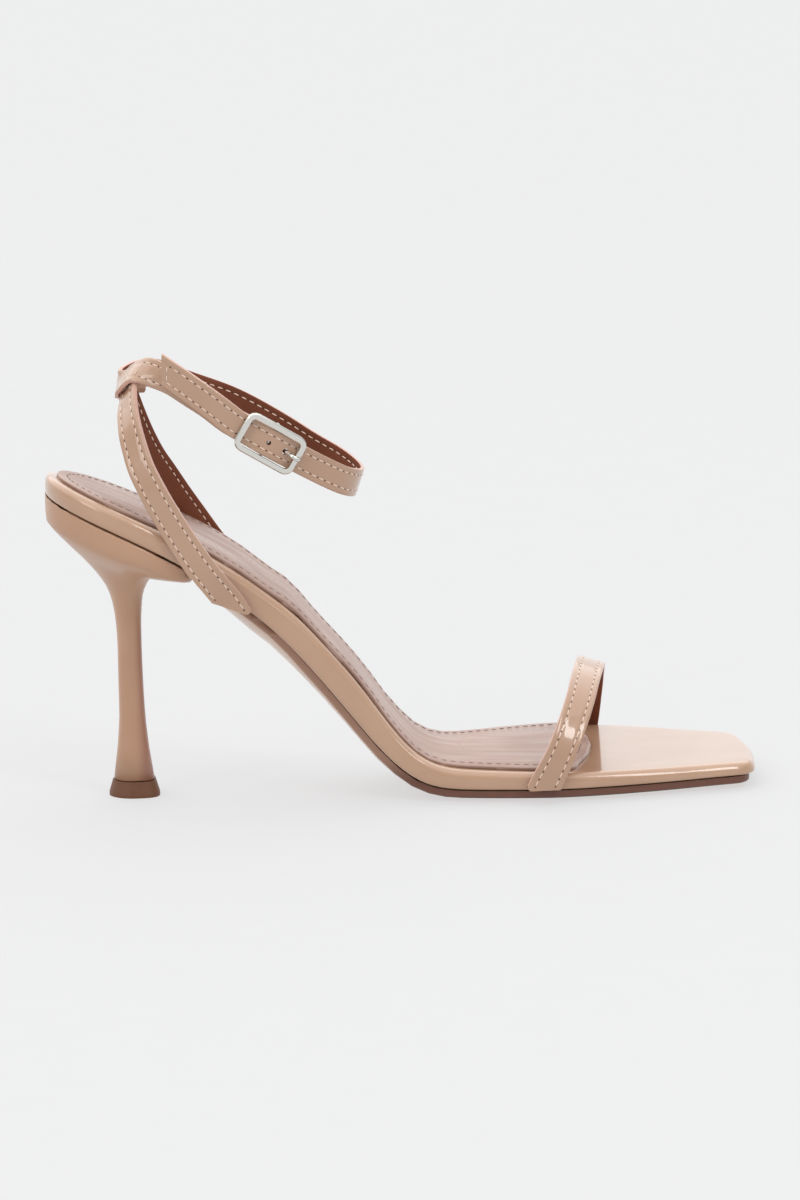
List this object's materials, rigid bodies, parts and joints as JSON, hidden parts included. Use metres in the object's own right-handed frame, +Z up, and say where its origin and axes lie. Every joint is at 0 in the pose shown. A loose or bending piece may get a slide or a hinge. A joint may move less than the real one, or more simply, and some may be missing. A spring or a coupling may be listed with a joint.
{
  "type": "ankle strap heel",
  "caption": "Women's square-toe sandal with a slim flared high heel, a narrow toe strap and two quarter straps joined to a buckled ankle strap.",
  "frame": {"origin": "middle of the shoe's footprint box, on the floor plane it stands on", "axes": "+X from the heel to the toe, +Y to the inner side of the foot, +Z up"},
  "size_m": [0.2238, 0.083, 0.1439],
  "materials": {
    "board_cover": "patent, glossy",
    "sock_leather": "satin",
    "outsole_leather": "smooth, polished edge",
    "heel_cover": "satin cover",
    "top_piece": "moulded, matt",
    "strap_patent": "patent with stitched edges",
    "buckle_metal": "pale nickel plate"
  },
  "bodies": {
    "root": {"platform": "board_cover", "sock": "sock_leather", "outsole": "outsole_leather", "heel": "heel_cover", "top_piece": "top_piece", "toe_strap": "strap_patent", "ankle_upper": "strap_patent", "buckle_frame": "buckle_metal", "buckle_prong": "buckle_metal"}
  },
  "joints": []
}
